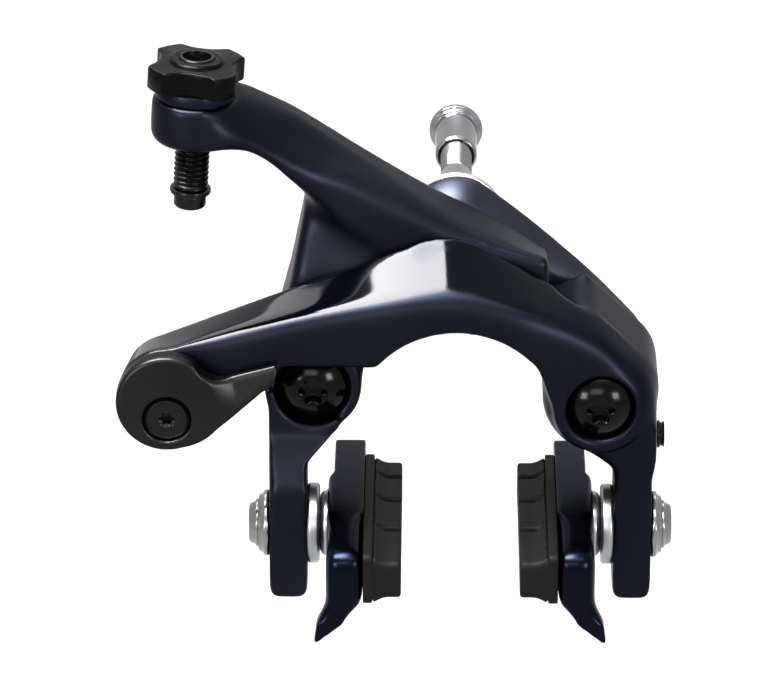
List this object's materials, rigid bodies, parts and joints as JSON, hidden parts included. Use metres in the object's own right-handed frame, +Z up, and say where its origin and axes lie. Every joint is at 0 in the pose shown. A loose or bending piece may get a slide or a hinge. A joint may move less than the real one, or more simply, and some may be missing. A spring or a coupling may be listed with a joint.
{
  "type": "bicycle rim brake caliper",
  "caption": "Dual-pivot rim brake caliper: two arms crossing over the tyre on a bridge bracket, with quick-release lever, star-knob cable adjuster and cartridge pads.",
  "frame": {"origin": "On the mounting stud axis, in the plane where the seat washer meets the fork.", "axes": "+Z up, +X to the right and +Y to the rear (into the fork) as seen by somebody who faces the brake; the stud runs along +Y."},
  "size_m": [0.1022, 0.0933, 0.1062],
  "materials": {
    "arm": "satin anodised dark grey-blue, gloss lacquer on the front facet",
    "bracket": "satin anodised dark grey-blue",
    "lever": "satin anodised warm dark grey",
    "knob": "satin black",
    "holder": "gloss dark navy",
    "pad": "matt black brake rubber",
    "gloss_screw": "gloss black coated steel",
    "bright_steel": "bright plated steel",
    "plain_steel": "turned steel",
    "bush": "plain bronze",
    "washer_alloy": "plain anodised aluminium"
  },
  "bodies": {
    "bridge": {"bridge_bracket": "bracket", "mounting_stud": "bright_steel", "seat_washer": "plain_steel", "left_pivot_screw": "gloss_screw", "right_pivot_screw": "gloss_screw", "left_thrust_washer": "plain_steel", "right_thrust_washer": "plain_steel", "return_spring": "plain_steel"},
    "front_arm": {"front_arm": "arm", "right_pivot_bush": "bush"},
    "rear_arm": {"rear_arm": "arm", "left_pivot_bush": "bush", "link_roller_pin": "plain_steel", "adjuster_collar": "knob"},
    "link_roller": {"link_roller": "plain_steel"},
    "release_lever": {"release_lever": "lever", "anchor_bolt": "gloss_screw", "clamp_plate": "plain_steel", "clamp_nut": "plain_steel"},
    "adjuster_knob": {"adjuster_knob": "knob"},
    "adjuster_barrel": {"adjuster_barrel": "knob", "adjuster_ring": "plain_steel"},
    "centering_screw": {"centering_screw": "bright_steel"},
    "mounting_nut": {"mounting_nut": "bright_steel"},
    "left_shoe_slider": {"left_shoe_bolt": "bright_steel", "left_outer_washer": "bright_steel", "left_inner_washer": "washer_alloy", "left_ball_washer": "washer_alloy"},
    "left_shoe": {"left_shoe_holder": "holder", "left_brake_pad": "pad", "left_pad_screw": "bright_steel"},
    "right_shoe_slider": {"right_shoe_bolt": "bright_steel", "right_outer_washer": "bright_steel", "right_inner_washer": "washer_alloy", "right_ball_washer": "washer_alloy"},
    "right_shoe": {"right_shoe_holder": "holder", "right_brake_pad": "pad", "right_pad_screw": "bright_steel"}
  },
  "joints": [
    {"name": "front_arm_pivot", "type": "hinge", "parent": "bridge", "child": "front_arm", "pos_m": [0.02645, -0.021, -0.0245], "axis": [0, 1, 0], "range_deg": [0, 12]},
    {"name": "rear_arm_pivot", "type": "hinge", "parent": "bridge", "child": "rear_arm", "pos_m": [-0.02645, -0.0166, -0.0245], "axis": [0, 1, 0], "range_deg": [-12, 0], "stiffness_Nm_per_rad": 0.9, "springref_deg": 25.78, "deforming": ["return_spring"]},
    {"name": "roller_spin", "type": "hinge", "parent": "rear_arm", "child": "link_roller", "pos_m": [0.014, -0.0166, -0.0045], "axis": [0, 1, 0], "continuous": true},
    {"name": "lever_turn", "type": "hinge", "parent": "front_arm", "child": "release_lever", "pos_m": [-0.05275, -0.03, -0.0208], "axis": [0, -1, 0], "range_deg": [0, 110]},
    {"name": "knob_turn", "type": "hinge", "parent": "rear_arm", "child": "adjuster_knob", "pos_m": [-0.04717, -0.024, 0.03658], "axis": [0.061, 0, 0.9981], "range_deg": [0, 2160]},
    {"name": "barrel_slide", "type": "slide", "parent": "rear_arm", "child": "adjuster_barrel", "axis": [0.061, 0, 0.9981], "range_m": [0, 0.006]},
    {"name": "centering_turn", "type": "hinge", "parent": "front_arm", "child": "centering_screw", "pos_m": [0.034, -0.02, -0.0356], "axis": [1, 0, 0], "range_deg": [-360, 360]},
    {"name": "nut_removal", "type": "slide", "parent": "bridge", "child": "mounting_nut", "axis": [0, 1, 0], "range_m": [0, 0.06]},
    {"name": "left_shoe_height", "type": "slide", "parent": "rear_arm", "child": "left_shoe_slider", "axis": [0, 0, 1], "range_m": [-0.005, 0.005]},
    {"name": "left_shoe_tilt", "type": "hinge", "parent": "left_shoe_slider", "child": "left_shoe", "pos_m": [-0.0311, -0.0246, -0.052], "axis": [1, 0, 0], "range_deg": [-10, 10]},
    {"name": "right_shoe_height", "type": "slide", "parent": "front_arm", "child": "right_shoe_slider", "axis": [0, 0, 1], "range_m": [-0.005, 0.005]},
    {"name": "right_shoe_tilt", "type": "hinge", "parent": "right_shoe_slider", "child": "right_shoe", "pos_m": [0.0328, -0.0246, -0.052], "axis": [1, 0, 0], "range_deg": [-10, 10]}
  ],
  "couplings": [
    {"joint": "rear_arm_pivot", "follows": "front_arm_pivot", "ratio": -1},
    {"joint": "knob_turn", "follows": "barrel_slide", "rad_per_m": 6283.2}
  ]
}
